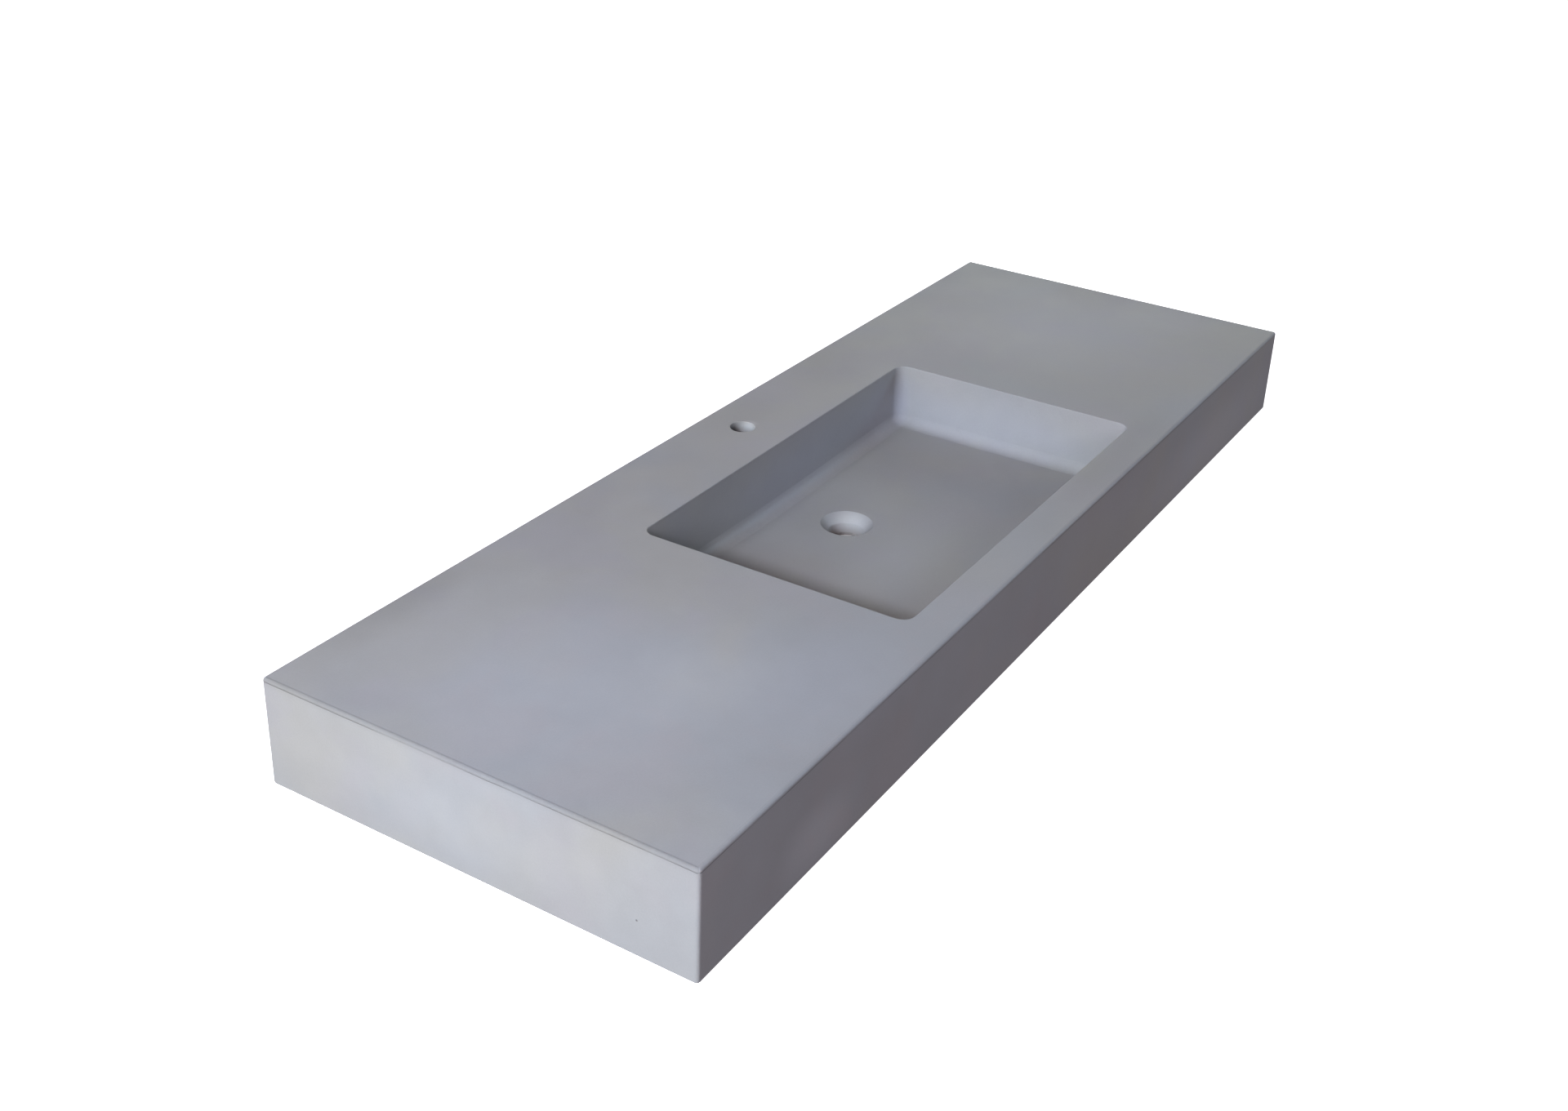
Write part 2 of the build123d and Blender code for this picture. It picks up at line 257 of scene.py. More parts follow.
# paler, darker and bluer places, partly the casting's own tone and partly painted light and shade; the blue
# share paints the bluish colour of the light on lit faces
paintedLightAndTonePlaces = {
    "deckLeft": {"at": (-0.59, 0.01, deckTop), "reach": (0.26, 0.27, 0.05), "gain": 0.16, "blue": 0.15},
    "deckBackDarker": {"at": (-0.57, 0.247, deckTop), "reach": (0.17, 0.052, 0.03), "gain": -0.15},
    "deckMiddleLeft": {"at": (-0.5, -0.09, deckTop), "reach": (0.14, 0.1, 0.04), "gain": 0.09, "blue": -0.15},
    "deckFrontLeft": {"at": (-0.44, -0.19, deckTop), "reach": (0.17, 0.10, 0.05), "gain": 0.07, "blue": 0.35},
    "deckRight": {"at": (0.58, 0.02, deckTop), "reach": (0.27, 0.27, 0.05), "gain": 0.17, "blue": 0.30},
    "deckRightEnd": {"at": (0.71, -0.11, deckTop), "reach": (0.09, 0.15, 0.03), "gain": 0.08},
    "deckBackRight": {"at": (0.24, 0.21, deckTop), "reach": (0.15, 0.07, 0.05), "gain": -0.07},
    "stripFrontRight": {"at": (0.17, -0.225, deckTop), "reach": (0.27, 0.05, 0.03), "gain": -0.10},
    "roundTapHole": {"at": (0.03, 0.215, deckTop), "reach": (0.11, 0.055, 0.01), "gain": -0.06},
    "frontNear": {"at": (-0.555, frontFace, 0.035), "reach": (0.09, 0.02, 0.05), "gain": 0.20},
    "frontFar": {"at": (0.50, frontFace, 0.04), "reach": (0.34, 0.02, 0.075), "gain": 0.15, "blue": 0.20},
    "endLeft": {"at": (leftEnd, 0.02, 0.06), "reach": (0.02, 0.27, 0.068), "gain": 0.10},
    # painted light: the bowl's walls and floor are made paler and bluer where the light falls on them
    "bowlRightWall": {"at": (0.30, 0.0, 0.065), "reach": (0.03, 0.30, 0.07), "gain": 0.13, "blue": 0.60},
    "bowlBackWall": {"at": (0.10, 0.135, 0.075), "reach": (0.42, 0.03, 0.07), "gain": 0.03, "blue": 0.60},
    "bowlBackCorner": {"at": (0.27, 0.137, 0.055), "reach": (0.13, 0.03, 0.06), "gain": 0.18, "blue": 0.30},
    "bowlFloorFar": {"at": (-0.01, 0.075, 0.03), "reach": (0.17, 0.10, 0.03), "gain": 0.13, "blue": 0.15},
    "bowlFloorNear": {"at": (-0.07, -0.065, 0.032), "reach": (0.19, 0.095, 0.03), "gain": 0.12, "blue": 0.15},
    # painted shade behind the waste, a painted highlight on the lit far side of its seat, and painted shadow
    # in the seat's low near side
    "behindWaste": {"at": (0.0, 0.08, 0.036), "reach": (0.10, 0.075, 0.016), "gain": -0.13, "blue": -0.15},
    "wasteSeat": {"at": (0.018, 0.04, 0.024), "reach": (0.036, 0.038, 0.016), "gain": 0.34},
    "wasteSeatLowShade": {"at": (-0.024, 0.026, 0.022), "reach": (0.018, 0.018, 0.014), "gain": -0.45},
    # a painted highlight on the lit right wall of the tap hole, and painted shadow in its left side
    "tapHoleRightLit": {"at": (0.016, 0.196, 0.117), "reach": (0.012, 0.018, 0.013), "gain": 0.42, "blue": 0.20},
    "tapHoleLeftShadow": {"at": (0.0, 0.2135, 0.112), "reach": (0.019, 0.013, 0.015), "gain": -0.65},
}


def castGrey(mix, look, places):
    fields = {name: mix.noise(**settings) for name, settings in look["noises"].items()}
    colour = mix.blendColour(mix.spread(fields["drift"], *look["warmShare"]), look["cool"], look["warm"])
    colour = mix.blendColour(mix.spread(fields["tint"], *look["mauveShare"]), colour, look["mauve"])
    tones = [1.0]
    for name, depth in look["swings"].items():
        tones.append(mix.swing(fields[name], depth))
    ragged = mix.swing(fields["clouds"], look["placeRagged"])
    blueing = [0.0]
    # each place adds painted light or shade, or the casting's own tone, and its blue share paints the colour
    # of the light
    for place in places.values():
        away = mix.total(mix.farFrom(place["at"], place["reach"]), ragged)
        inside = mix.fade(away, *look["placeFade"])
        tones.append(mix.product(inside, place["gain"]))
        if "blue" in place:
            blueing.append(mix.product(inside, place["blue"]))
    colour = mix.blendColour(mix.total(*blueing), colour, look["blue"])
    return colour, mix.total(*tones), fields


# pinholes, few and small, each in its own cell, and the blowhole that the photograph shows
holeLook = {
    # painted shade: the pits and the blowhole are coloured dark for the shade inside them, besides their dent
    # in the bump
    "colour": (0.10, 0.10, 0.10, 1.0),
    "cover": 0.7,
    "cellsPerMetre": 38.0,
    "rarity": 0.93,          # share of the cells without a pinhole
    "size": 0.028,           # radius of the largest, in cells
    "blowholes": {"endLow": {"at": (leftEnd, -0.1895, 0.04), "radius": 1.25 * mm}},
    "blowholeFade": (0.6, 1.0),
}


def pinholes(mix, look):
    distance, pick, size = mix.cells(look["cellsPerMetre"])
    chosen = mix.maths("GREATER_THAN", pick, look["rarity"])
    holes = mix.product(chosen, mix.maths("LESS_THAN", distance, mix.product(size, look["size"])))
    for blowhole in look["blowholes"].values():
        away = mix.farFrom(blowhole["at"], [blowhole["radius"]] * 3)
        holes = mix.maths("MAXIMUM", holes, mix.fade(away, *look["blowholeFade"]))
    return holes


# the rounded edge round the top, and the joint under it where the mould's edge strip met its side
edgeLook = {
    "radius": 3.4 * mm,
    "blur": 0.4 * mm,
    # painted shade: the rounded edge is darkened, slightly on the sides and strongly on the ends, so that it
    # shows no more light than the faces beside it
    "sideEdgeShade": (1.00, 0.92),            # from the edge's top to its foot
    "endEdgeShade": (0.72, 0.74),
    "rub": {"scale": 45.0, "detail": 4.0, "roughness": 0.65},
    "rubDepth": 0.18,
    "endFace": 1 * mm,                   # what lies less deep than this is the end's face
    "stripFoot": 11 * mm,                # below the top, of the darker strip on the ends
    "stripTone": 0.94,
    "joint": 4.1 * mm,                   # below the top
    "jointWander": {"scale": 9.0, "detail": 5.0, "roughness": 0.65},
    "jointWaver": 2.0 * mm,
    "jointFade": (0.2 * mm, 0.7 * mm),
    "jointPatches": {"scale": 7.0, "roughness": 0.6, "shift": (0.7, 2.9, 0.2)},
    "jointPatchShare": (0.34, 0.56, 0.15, 1.0),
    "jointTone": 0.35,
    "sideSkin": (0.3 * mm, 0.9 * mm),
    "arrisInset": 0.5 * mm,              # past the edge, where the deck begins
    "arrisFade": (0.3 * mm, 1.1 * mm),
    "arrisTone": 0.06,
    "topSkin": (0.1 * mm, 0.5 * mm),
}


def mouldEdge(mix, look):
    x, y, z = mix.axes()
    fromEnd = mix.maths("SUBTRACT", shellHigh[0], mix.maths("ABSOLUTE", x))
    fromSide = mix.maths("SUBTRACT", shellHigh[1], mix.maths("ABSOLUTE", y))
    fromTop = mix.maths("SUBTRACT", shellHigh[2], z)
    fromOutside = mix.maths("MINIMUM", fromEnd, fromSide)
    radius = look["radius"]

    onEdge = mix.product(
        mix.fade(fromTop, radius, look["joint"]),
        mix.fade(fromOutside, radius, radius + look["blur"]),
    )
    sideEdgeShade = mix.spread(fromTop, 0.0, radius, *look["sideEdgeShade"])
    endEdgeShade = mix.spread(fromTop, 0.0, radius, *look["endEdgeShade"])
    nearEnd = mix.maths("LESS_THAN", fromEnd, fromSide)
    rub = mix.swing(mix.noise(**look["rub"]), look["rubDepth"])
    # painted shade over the rounded edge, with rubbed wear on top
    edgeTone = mix.total(mix.blendValue(nearEnd, sideEdgeShade, endEdgeShade), rub)
    onEnd = mix.maths("LESS_THAN", fromEnd, look["endFace"])
    strip = mix.product(onEnd, mix.fade(fromTop, radius, look["stripFoot"]))
    tone = mix.blendValue(onEdge, mix.blendValue(strip, 1.0, look["stripTone"]), edgeTone)

    waver = mix.swing(mix.noise(**look["jointWander"]), look["jointWaver"])
    offJoint = mix.maths("ABSOLUTE", mix.total(fromTop, -look["joint"], waver))
    patches = mix.spread(mix.noise(**look["jointPatches"]), *look["jointPatchShare"])
    onSide = mix.fade(fromOutside, *look["sideSkin"])
    joint = mix.product(mix.fade(offJoint, *look["jointFade"]), patches, onSide)
    offArris = mix.maths("ABSOLUTE", mix.total(fromOutside, -radius - look["arrisInset"]))
    arris = mix.product(mix.fade(offArris, *look["arrisFade"]), mix.fade(fromTop, *look["topSkin"]))
    lines = mix.total(1.0, mix.layers((joint, -look["jointTone"]), (arris, -look["arrisTone"])))
    return mix.product(tone, lines), joint


# raw faces: inside the hollow, outside the bowl's block, and under the block
rawLook = {
    "grey": (0.225, 0.219, 0.208, 1.0),
    "fibre": (0.36, 0.355, 0.34, 1.0),
    "roughness": 0.92,
    "intoApron": 23 * mm,            # a little less than the apron's thickness
    "intoDeck": 23.4 * mm,           # and than the deck's
    "blockHalfWidth": 315 * mm,      # middle of the bowl's wall
    "blockWallSide": 147 * mm,
    "blockUnder": 9 * mm,
    "lumps": {"scale": 75.0, "detail": 5.0, "roughness": 0.7},
    "trowel": {"scale": 14.0, "roughness": 0.6, "distortion": 1.2},
    "strandsAcross": {"detail": 1.0, "stretch": (330, 16, 330), "turn": (0, 0, 28)},
    "strandsBack": {"detail": 1.0, "stretch": (330, 14, 330), "turn": (0, 0, -47)},
    "acrossShare": (0.63, 0.68),
    "backShare": (0.64, 0.69),
    "strandCover": 0.55,
    "tone": 0.78,
    "lumpTone": 0.28,
    "trowelTone": 0.20,
    "lumpHeight": 3.0 * mm,
    "trowelHeight": 2.5 * mm,
    "strandHeight": 0.5 * mm,
}


def rawFaces(mix, look):
    x, y, z = mix.axes()
    alongX, alongY = mix.maths("ABSOLUTE", x), mix.maths("ABSOLUTE", y)
    inHollow = mix.product(
        mix.maths("LESS_THAN", alongX, shellHigh[0] - look["intoApron"]),
        mix.maths("LESS_THAN", alongY, shellHigh[1] - look["intoApron"]),
        mix.maths("LESS_THAN", z, shellHigh[2] - look["intoDeck"]),
    )
    inBlock = mix.product(
        mix.maths("LESS_THAN", alongX, look["blockHalfWidth"]),
        mix.maths("LESS_THAN", y, look["blockWallSide"]),
        mix.maths("GREATER_THAN", z, look["blockUnder"]),
    )
    raw = mix.product(inHollow, mix.maths("SUBTRACT", 1.0, inBlock))

    lumps = mix.noise(**look["lumps"])
    trowel = mix.noise(**look["trowel"])
    across = mix.spread(mix.noise(**look["strandsAcross"]), *look["acrossShare"])
    back = mix.spread(mix.noise(**look["strandsBack"]), *look["backShare"])
    strands = mix.maths("MAXIMUM", across, back)
    tone = mix.total(look["tone"], mix.layers((lumps, look["lumpTone"]), (trowel, look["trowelTone"])))
    cover = mix.product(strands, look["strandCover"])
    colour = mix.blendColour(cover, mix.shaded(look["grey"], tone), look["fibre"])
    height = mix.layers(
        (lumps, look["lumpHeight"]),
        (trowel, look["trowelHeight"]),
        (strands, look["strandHeight"]),
    )
    return raw, colour, height


# the casting: smooth and sealed where the mould was, and raw underneath, where the sprayed mix
# was never against it
concreteLook = {
    "gloss": 0.3,
    "mottleWear": 0.6,
    "cloudWear": 0.4,
    "roughness": (0.35, 0.65, 0.46, 0.56),     # by the wear
    "mottleHeight": 0.4 * mm,
    "grainHeight": 0.05 * mm,
    "holeHeight": -0.5 * mm,
    "jointHeight": -0.35 * mm,
    "bump": 0.8,
}


def castConcrete(look):
    mix = FinishNodes("castConcrete")
    mix.shader.inputs["Specular IOR Level"].default_value = look["gloss"]
    colour, tone, fields = castGrey(mix, greyLook, paintedLightAndTonePlaces)
    edgeTone, joint = mouldEdge(mix, edgeLook)
    smooth = mix.shaded(colour, mix.product(tone, edgeTone))
    holes = pinholes(mix, holeLook)
    # painted shade inside the pinholes and the blowhole
    smooth = mix.blendColour(mix.product(holes, holeLook["cover"]), smooth, holeLook["colour"])
    raw, rawColour, rawHeight = rawFaces(mix, rawLook)

    wear = mix.layers((fields["mottle"], look["mottleWear"]), (fields["clouds"], look["cloudWear"]))
    roughness = mix.blendValue(raw, mix.spread(wear, *look["roughness"]), rawLook["roughness"])
    height = mix.layers(
        (fields["mottle"], look["mottleHeight"]),
        (fields["grain"], look["grainHeight"]),
        (holes, look["holeHeight"]),
        (joint, look["jointHeight"]),
    )
    normal = mix.bump(mix.blendValue(raw, height, rawHeight), look["bump"])
    return mix.finishAs(mix.blendColour(raw, smooth, rawColour), roughness, normal)


# brackets: black powder coat over welded steel, with the casting's dust on it
powderLook = {
    "paint": (0.022, 0.022, 0.024, 1.0),
    "scuffed": (0.075, 0.075, 0.078, 1.0),
    "dusty": (0.20, 0.195, 0.185, 1.0),
    "peel": {"scale": 640.0, "detail": 2.0},
    "blotches": {"scale": 24.0, "detail": 4.0, "roughness": 0.6},
    "specks": {"scale": 210.0, "detail": 4.0, "roughness": 0.7},
    "scuffs": {"roughness": 0.6, "stretch": (900, 40, 900), "turn": (0, 0, 12)},
    "blotchShare": (0.50, 0.78),
    "speckShare": (0.42, 0.62),
    "dustCover": 0.42,
    "scuffShare": (0.70, 0.76, 0.0, 0.5),
    "roughness": (0.3, 0.7, 0.40, 0.56),       # by the blotches
    "dustRoughness": 0.3,
    "peelHeight": 0.09 * mm,
    "dustHeight": 0.05 * mm,
}


def powderCoat(look):
    mix = FinishNodes("blackPowderCoat")
    peel = mix.noise(**look["peel"])
    blotches = mix.noise(**look["blotches"])
    specks = mix.spread(mix.noise(**look["specks"]), *look["speckShare"])
    dust = mix.product(mix.spread(blotches, *look["blotchShare"]), specks)
    scuffs = mix.spread(mix.noise(**look["scuffs"]), *look["scuffShare"])
    colour = mix.blendColour(mix.product(dust, look["dustCover"]), look["paint"], look["dusty"])
    colour = mix.blendColour(scuffs, colour, look["scuffed"])
    roughness = mix.total(mix.spread(blotches, *look["roughness"]), mix.product(dust, look["dustRoughness"]))
    height = mix.layers((peel, look["peelHeight"]), (dust, look["dustHeight"]))
    return mix.finishAs(colour, roughness, mix.bump(height))


# fasteners: bright zinc with a faint straw and blue bloom, and drawn scratches
zincLook = {
    "bright": (0.64, 0.65, 0.66, 1.0),
    "straw": (0.60, 0.57, 0.46, 1.0),
    "blue": (0.50, 0.55, 0.64, 1.0),
    "bloom": {"scale": 85.0, "roughness": 0.6, "distortion": 0.8},
    "scratches": {"detail": 2.0, "stretch": (1500, 1500, 90)},
    "strawShare": (0.52, 0.68, 0.0, 0.55),
    "blueShare": (0.46, 0.34, 0.0, 0.35),
    "roughness": (0.3, 0.7, 0.24, 0.42),       # by the bloom
    "scratchRoughness": (0.55, 0.75, 0.0, 0.12),
    "scratchHeight": 0.012 * mm,
}


def zincPlate(look):
    mix = FinishNodes("zincPlate")
    bloom = mix.noise(**look["bloom"])
    scratches = mix.noise(**look["scratches"])
    colour = mix.blendColour(mix.spread(bloom, *look["strawShare"]), look["bright"], look["straw"])
    colour = mix.blendColour(mix.spread(bloom, *look["blueShare"]), colour, look["blue"])
    scratched = mix.spread(scratches, *look["scratchRoughness"])
    roughness = mix.total(mix.spread(bloom, *look["roughness"]), scratched)
    return mix.finishAs(colour, roughness, mix.bump(mix.product(scratches, look["scratchHeight"])), 1.0)


# sockets: turned brass, slightly dulled by the mix round it
brassLook = {
    "tones": ((0.62, 0.44, 0.17, 1.0), (0.30, 0.22, 0.11, 1.0)),
    "patches": {"scale": 160.0, "detail": 4.0, "roughness": 0.6},
    "secondShare": (0.45, 0.70, 0.0, 0.8),
    "roughness": (0.3, 0.7, 0.28, 0.5),
    "relief": {"detail": 1.0, "stretch": (120, 120, 4200)},
    "reliefHeight": 0.02 * mm,
    "metallic": 1.0,
}
# pads: black moulded rubber with bloom
rubberLook = {
    "tones": ((0.014, 0.014, 0.015, 1.0), (0.06, 0.06, 0.062, 1.0)),
    "patches": {"scale": 70.0, "detail": 4.0, "roughness": 0.65},
    "secondShare": (0.45, 0.75, 0.0, 0.7),
    "roughness": (0.3, 0.7, 0.68, 0.86),
    "relief": {"scale": 1500.0, "detail": 2.0, "roughness": 0.6},
    "reliefHeight": 0.05 * mm,
    "metallic": 0.0,
}
# end plugs: black plastic with a spark-eroded grain
plasticLook = {
    "tones": ((0.016, 0.016, 0.017, 1.0), (0.045, 0.045, 0.047, 1.0)),
    "patches": {"scale": 95.0, "detail": 4.0, "roughness": 0.6},
    "secondShare": (0.50, 0.75, 0.0, 0.6),
    "roughness": (0.3, 0.7, 0.42, 0.58),
    "relief": {"scale": 1900.0, "detail": 1.0},
    "reliefHeight": 0.06 * mm,
    "metallic": 0.0,
}


def twoToned(name, look):
    mix = FinishNodes(name)
    patches = mix.noise(**look["patches"])
    colour = mix.blendColour(mix.spread(patches, *look["secondShare"]), *look["tones"])
    relief = mix.product(mix.noise(**look["relief"]), look["reliefHeight"])
    return mix.finishAs(colour, mix.spread(patches, *look["roughness"]), mix.bump(relief), look["metallic"])


finishes = {
    "concrete": castConcrete(concreteLook),
    "bracket_steel": powderCoat(powderLook),
    "zinc_fasteners": zincPlate(zincLook),
    "socket_brass": twoToned("turnedBrass", brassLook),
    "pad_rubber": twoToned("mouldedRubber", rubberLook),
    "plug_plastic": twoToned("grainedPlastic", plasticLook),
}
slotOfNode = {entry["node"]: entry["material_slot"] for entry in frame["record"]["subparts"]}
for name, node in nodes.items():
    for materialSlot in node.material_slots:
        materialSlot.material = finishes[slotOfNode[name]]
print("finishes assigned")


sameSpot = 0.002 * mm      # vertices nearer to each other than this become one


def makePiece(name, build, body, slot, sharpAngle):
    bmesh.ops.remove_doubles(build, verts=build.verts, dist=sameSpot)
    bmesh.ops.recalc_face_normals(build, faces=build.faces)
    for face in build.faces:
        face.smooth = True
    mesh = bpy.data.meshes.new(name)
    build.to_mesh(mesh)
    build.free()
    mesh.set_sharp_from_angle(angle=math.radians(sharpAngle))
    mesh.materials.append(finishes[slot])
    piece = bpy.data.objects.new(name, mesh)
    bpy.context.collection.objects.link(piece)
    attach(piece, body)
    return piece


def onCircle(middle, radius, angle, z):
    return middle[0] + radius * math.cos(angle), middle[1] + radius * math.sin(angle), z


# a level ring with one vertex for each radius
def addRing(build, middle, radii, z):
    angles = [math.tau * k / len(radii) for k in range(len(radii))]
    return [build.verts.new(onCircle(middle, radius, angle, z)) for radius, angle in zip(radii, angles)]


def bridge(build, first, second):
    count = len(first)
    for k in range(count):
        build.faces.new((first[k], first[(k + 1) % count], second[(k + 1) % count], second[k]))


# a skin through round rings, given as radius and height
def addTurned(build, middle, outline, count):
    rings = [addRing(build, middle, [radius] * count, z) for radius, z in outline]
    for first, second in zip(rings, rings[1:]):
        bridge(build, first, second)
    return rings


# levelling screws: cut thread, eased ends, a spigot on top and a hexagon socket below
screwLook = {
    "pitch": 1.25 * mm,
    "crest": 3.97 * mm,
    "root": 3.36 * mm,
    "profile": ((0.0, 0.0), (0.12, 0.0), (0.46, 1.0), (0.66, 1.0)),  # share of pitch, share of depth
    "stepsPerTurn": 30,
    "lead": 0.9 * mm,                # plain stretch at each end of the thread
    "spigot": 2.48 * mm,
    "spigotLength": 3.0 * mm,
    "easing": 0.4 * mm,              # of the shoulder and the spigot
    "footEasing": 0.6 * mm,
    "keyFlat": 2.0 * mm,             # from the middle to a flat of the socket
    "keyDepth": 5.0 * mm,
    "keyTip": 1.0 * mm,              # of the drill's cone above the socket
    "sharpAngle": 30,
}


def addThread(build, middle, start, end, look):
    steps, pitch = look["stepsPerTurn"], look["pitch"]
    turns = (end - start) / pitch + 1
    rows = []
    for k in range(int(turns * steps) + 1):
        angle = math.tau * (k % steps) / steps
        row = []
        for share, depth in look["profile"]:
            z = min(max(start + pitch * (k / steps - 1 + share), start), end)
            runOut = min(1.0, (z - start) / pitch, (end - z) / pitch)
            radius = look["root"] + (look["crest"] - look["root"]) * depth * runOut
            row.append(build.verts.new(onCircle(middle, radius, angle, z)))
        rows.append(row)
    for k in range(len(rows) - 1):
        this, following = rows[k], rows[k + 1]
        for j in range(len(this) - 1):
            build.faces.new((this[j], following[j], following[j + 1], this[j + 1]))
        if k + 1 + steps < len(rows):     # the crest meets the root one turn on
            build.faces.new((this[-1], following[-1], rows[k + 1 + steps][0], rows[k + steps][0]))


def addSocket(build, middle, bottom, edge, look):
    steps = look["stepsPerTurn"]
    flat = math.tau / 6
    radii = []
    for k in range(steps):
        offMiddle = (math.tau * k / steps + flat / 2) % flat - flat / 2
        radii.append(look["keyFlat"] / math.cos(offMiddle))
    mouth = addRing(build, middle, radii, bottom)
    floor = addRing(build, middle, radii, bottom + look["keyDepth"])
    bridge(build, edge, mouth)
    bridge(build, mouth, floor)
    tip = build.verts.new((middle.x, middle.y, bottom + look["keyDepth"] + look["keyTip"]))
    for k in range(steps):
        build.faces.new((floor[k], floor[(k + 1) % steps], tip))


def addLevellingScrew(side, look):
    low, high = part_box(f"{side}_levelling_screw")
    middle = Vector(((low[0] + high[0]) / 2, (low[1] + high[1]) / 2, 0))
    bottom, top = low[2], high[2]
    shoulder = top - look["spigotLength"]
    start, end = bottom + look["lead"], shoulder - look["lead"]
    root, spigot, easing = look["root"], look["spigot"], look["easing"]
    build = bmesh.new()
    addThread(build, middle, start, end, look)
    # shoulder and spigot
    upper = (
        (root, end),
        (root, shoulder - easing),
        (root - easing, shoulder),
        (spigot, shoulder),
        (spigot, top - easing),
        (spigot - easing, top),
    )
    rings = addTurned(build, middle, upper, look["stepsPerTurn"])
    build.faces.new(rings[-1])
    # eased foot, round the socket
    lower = (
        (root, start),
        (root, bottom + look["footEasing"]),
        (root - look["footEasing"], bottom),
    )
    rings = addTurned(build, middle, lower, look["stepsPerTurn"])
    addSocket(build, middle, bottom, rings[-1], look)
    piece = makePiece(f"{side}_threaded_screw", build, f"{side}_screw", "zinc_fasteners", look["sharpAngle"])
    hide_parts(f"{side}_levelling_screw")


# welds: rippled beads in the corners of each bracket, and tacks round the weld nut
weldLook = {
    "radius": 2.3 * mm,
    "ripple": 2.1 * mm,
    "ringsPerRipple": 5,
    "fewestRings": 8,
    "sides": 12,
    "depth": 0.15,                      # share of the radius that a ripple adds
    "jitter": 0.05,
    "endSize": 0.08,                    # square of the share of the radius that a bead ends with
    "armInset": (5 * mm, 4 * mm),       # at the arm's foot and top
    "gussetInset": (3 * mm, 1 * mm),    # at the gusset's foot and top
    "underArm": (2 * mm, 9 * mm),       # outwards from the gusset
    "stitches": ((4 * mm, 32 * mm), (50 * mm, 74 * mm)),     # along the gusset's top, from its tip
    "tacks": 3,
    "tackTurn": 0.25,                   # share of the angle between two tacks
    "tackAway": 6.9 * mm,
    "tackHalfLength": 2.2 * mm,
    "tackRadius": 1.6 * mm,
    "sharpAngle": 60,
    "seed": 11,
}


def addBead(build, start, end, radius, look, rng):
    start, end = Vector(start), Vector(end)
    ahead = (end - start).normalized()
    aside = ahead.orthogonal().normalized()
    upward = ahead.cross(aside)
    length = (end - start).length
    count = max(look["fewestRings"], int(length / look["ripple"] * look["ringsPerRipple"]))
    angles = [math.tau * k / look["sides"] for k in range(look["sides"])]
    rings = []
    for k in range(count + 1):
        along = length * k / count
        wave = 0.5 + 0.5 * math.cos(math.tau * along / look["ripple"])
        swell = 1 + look["depth"] * wave + rng.uniform(-look["jitter"], look["jitter"])
        nearEnd = min(along, length - along) / radius
        size = radius * swell * math.sqrt(min(1.0, look["endSize"] + nearEnd))
        centre = start + ahead * along
        rings.append([
            build.verts.new(centre + size * (math.cos(angle) * aside + math.sin(angle) * upward))
            for angle in angles
        ])
    for first, second in zip(rings, rings[1:]):
        bridge(build, first, second)
    build.faces.new(rings[0])
    build.faces.new(rings[-1])


def addTacks(build, nut, look, rng):
    half = look["tackHalfLength"]
    for k in range(look["tacks"]):
        angle = math.tau * (k + look["tackTurn"]) / look["tacks"]
        away = Vector((math.cos(angle), math.sin(angle), 0))
        across = Vector((-math.sin(angle), math.cos(angle), 0))
        spot = nut + away * look["tackAway"]
        addBead(build, spot - across * half, spot + across * half, look["tackRadius"], look, rng)


def addWelds(side, look, rng):
    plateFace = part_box(f"{side}_wall_plate")[0][1]
    armLow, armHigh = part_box(f"{side}_arm")
    gussetLow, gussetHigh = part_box(f"{side}_gusset")
    footLow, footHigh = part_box(f"{side}_levelling_foot")
    armFoot, radius = armLow[2], look["radius"]
    build = bmesh.new()
    low, high = look["armInset"]
    for x in (armLow[0], armHigh[0]):
        addBead(build, (x, plateFace, armFoot + low), (x, plateFace, armHigh[2] - high), radius, look, rng)
    low, high = look["gussetInset"]
    near, far = look["underArm"]
    for x, outward in ((gussetLow[0], -1), (gussetHigh[0], 1)):
        addBead(build, (x, plateFace, gussetLow[2] + low), (x, plateFace, armFoot - high), radius, look, rng)
        underNear = (x + outward * near, plateFace, armFoot)
        underFar = (x + outward * far, plateFace, armFoot)
        addBead(build, underNear, underFar, radius, look, rng)
        for first, last in look["stitches"]:
            stitchStart = (x, gussetLow[1] + first, armFoot)
            stitchEnd = (x, gussetLow[1] + last, armFoot)
            addBead(build, stitchStart, stitchEnd, radius, look, rng)
    nut = Vector(((armLow[0] + armHigh[0]) / 2, (footLow[1] + footHigh[1]) / 2, armFoot))
    addTacks(build, nut, look, rng)
    makePiece(f"{side}_welds", build, "root", "bracket_steel", look["sharpAngle"])


rng = random.Random(weldLook["seed"])
for side in ("left_outer", "left_inner", "right_inner", "right_outer"):
    addLevellingScrew(side, screwLook)
    addWelds(side, weldLook, rng)
print("threaded screws and welds added")


# floor and backdrop: one white sweep that the camera sees, and that casts no light of its own;
# only the floor under the casting is in shade
sweepLook = {
    "radius": 16.0,
    "segments": 48,
    "rings": 12,
    "colour": (0.8, 0.8, 0.8, 1.0),
    "white": (1.0, 1.0, 1.0, 1.0),
    "shade": (0.30, 0.30, 0.31, 1.0),
    "roughness": 0.9,
    "shadeInset": 2 * mm,        # in from the casting's outside
    "shadeFade": 12 * mm,
    "shadeHeight": 1 * mm,
}


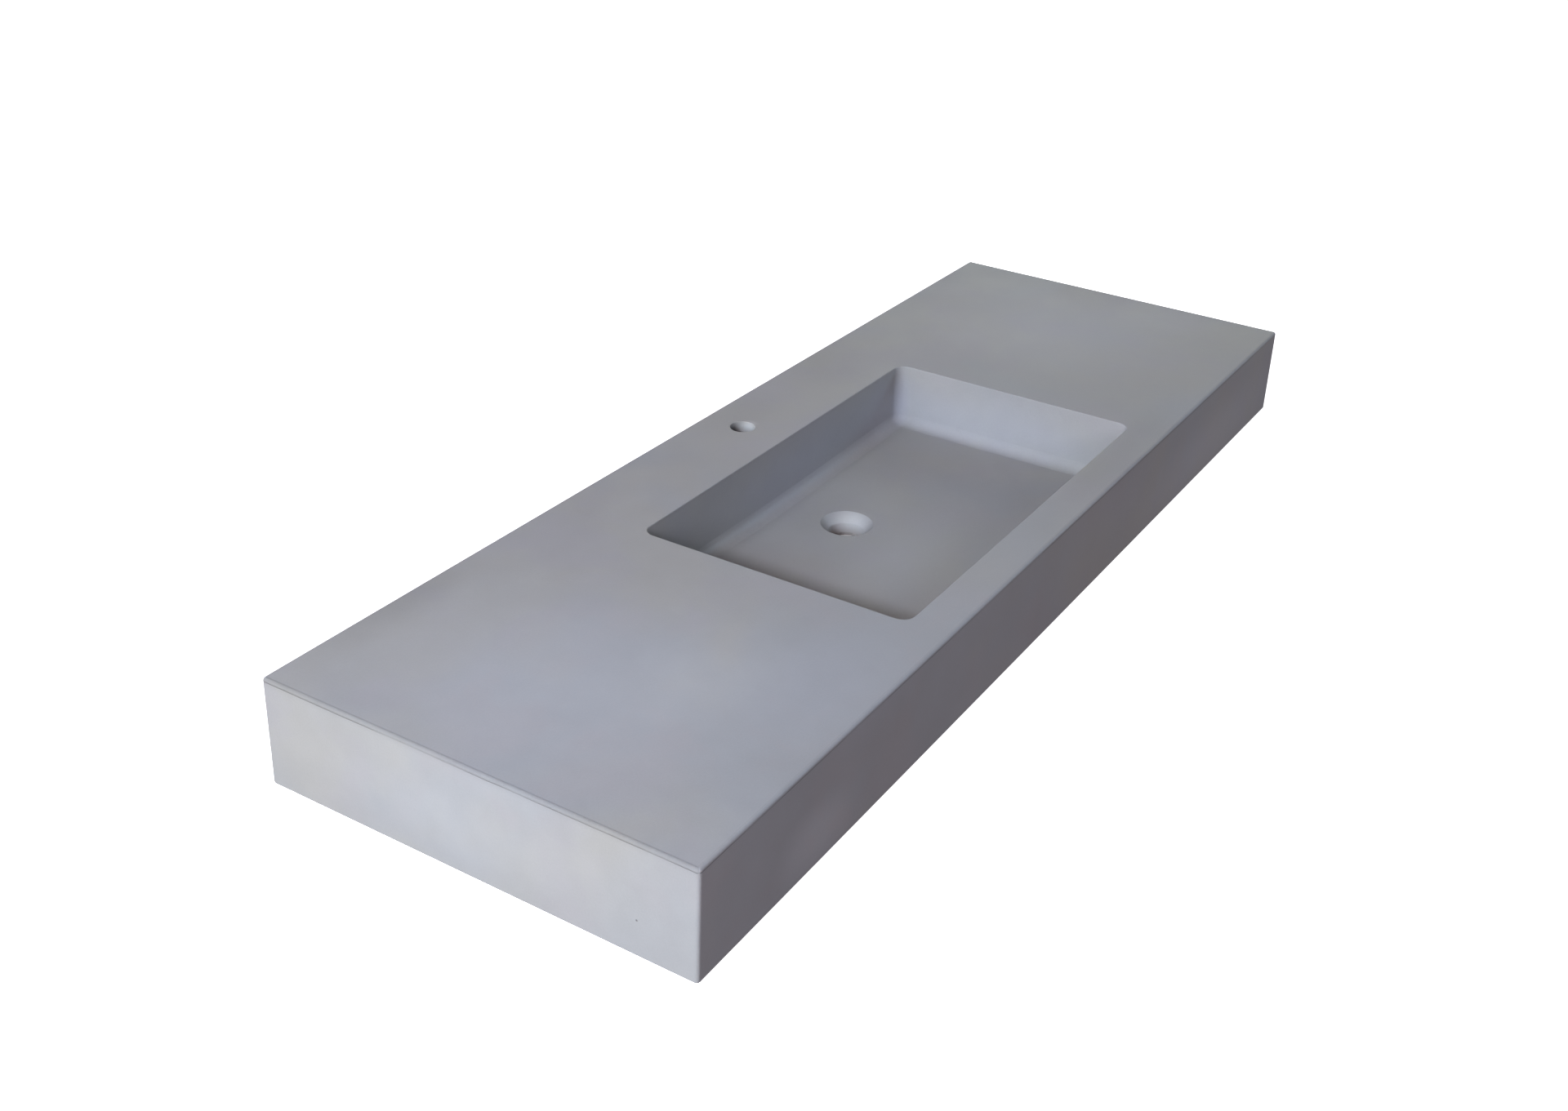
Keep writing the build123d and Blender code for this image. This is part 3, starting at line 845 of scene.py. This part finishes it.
def addSweep(look):
    mesh = bpy.data.meshes.new("studioSweep")
    build = bmesh.new()
    outline = []
    for ring in range(look["rings"] + 1):
        lift = math.pi / 2 * ring / (look["rings"] + 1)
        outline.append((look["radius"] * math.cos(lift), look["radius"] * math.sin(lift)))
    rings = addTurned(build, Vector((0, 0, 0)), outline, look["segments"])
    build.faces.new(rings[0])
    build.faces.new(rings[-1])
    build.to_mesh(mesh)
    build.free()
    sweep = bpy.data.objects.new("studioSweep", mesh)
    bpy.context.collection.objects.link(sweep)

    mix = FinishNodes("studioSweep")
    mix.shader.inputs["Specular IOR Level"].default_value = 0.0
    x, y, z = mix.axes()
    halfWidth, halfDepth = shellHigh[0] - look["shadeInset"], shellHigh[1] - look["shadeInset"]
    under = mix.product(
        mix.fade(mix.maths("ABSOLUTE", x), halfWidth - look["shadeFade"], halfWidth),
        mix.fade(mix.maths("ABSOLUTE", y), halfDepth - look["shadeFade"], halfDepth),
        mix.maths("LESS_THAN", z, look["shadeHeight"]),
    )
    mix.join(mix.blendColour(under, look["white"], look["shade"]), mix.shader.inputs["Emission Color"])
    mix.shader.inputs["Emission Strength"].default_value = 1.0
    mesh.materials.append(mix.finishAs(look["colour"], look["roughness"]))
    sweep.visible_diffuse = sweep.visible_glossy = sweep.visible_shadow = False


# a strip box as the key, then wide soft boxes; azimuth 0 stands to the right, 90 behind, 180 to the left
studioLights = {
    "keyStrip": {"azimuth": 180, "elevation": 29, "size": (1.5, 0.35), "power": (105.0, 107.0, 123.0)},
    "keyFill": {"azimuth": 175, "elevation": 20, "size": (1.0, 1.0), "power": (20.0, 36.0, 42.0)},
    "keyLow": {"azimuth": 175, "elevation": 8, "size": (1.0, 1.0), "power": (41.0, 33.0, 25.0)},
    "frontLeft": {"azimuth": 215, "elevation": 20, "size": (1.0, 1.0), "power": (26.0, 26.0, 32.0)},
    "frontRight": {"azimuth": 320, "elevation": 22, "size": (1.0, 1.0), "power": (14.0, 21.0, 27.0)},
    "right": {"azimuth": 5, "elevation": 12, "size": (1.0, 1.0), "power": (6.0, 7.0, 6.0)},
    "backRight": {"azimuth": 25, "elevation": 18, "size": (1.0, 1.0), "power": (7.0, 8.0, 7.0)},
    "lowBack": {"azimuth": 90, "elevation": 12, "size": (1.0, 1.0), "power": (44.0, 45.0, 58.0)},
}
studioSetup = {
    "lightDistance": 3.6,
    "lightAim": (0, 0, 0.1),
    # seen against the light, the sheen of these would burn the deck out
    "withoutSheen": ("keyStrip", "keyFill", "keyLow"),
    "ambient": (0.266, 0.212, 0.210, 1.0),
    "ambientStrength": 1.0,
    "viewTransform": "Standard",
}


def addLight(name, light, setup):
    data = bpy.data.lights.new(name, "AREA")
    data.shape = "RECTANGLE"
    data.size, data.size_y = light["size"]
    data.energy = max(light["power"])
    data.color = [channel / data.energy for channel in light["power"]]
    lamp = bpy.data.objects.new(name, data)
    bpy.context.collection.objects.link(lamp)
    lamp.visible_glossy = name not in setup["withoutSheen"]
    side, lift = math.radians(light["azimuth"]), math.radians(light["elevation"])
    away = Vector((math.cos(side) * math.cos(lift), math.sin(side) * math.cos(lift), math.sin(lift)))
    lamp.location = Vector(setup["lightAim"]) + away * setup["lightDistance"]
    lamp.rotation_euler = (-away).to_track_quat("-Z", "Y").to_euler()


# the light from all round, and how the picture shows it
def setStudio(setup):
    world = bpy.data.worlds.new("studioWorld")
    bpy.context.scene.world = world
    world.use_nodes = True
    background = world.node_tree.nodes["Background"]
    background.inputs["Color"].default_value = setup["ambient"]
    background.inputs["Strength"].default_value = setup["ambientStrength"]
    bpy.context.scene.view_settings.view_transform = setup["viewTransform"]


addSweep(sweepLook)
for name, light in studioLights.items():
    addLight(name, light, studioSetup)
setStudio(studioSetup)
print("floor and light placed")
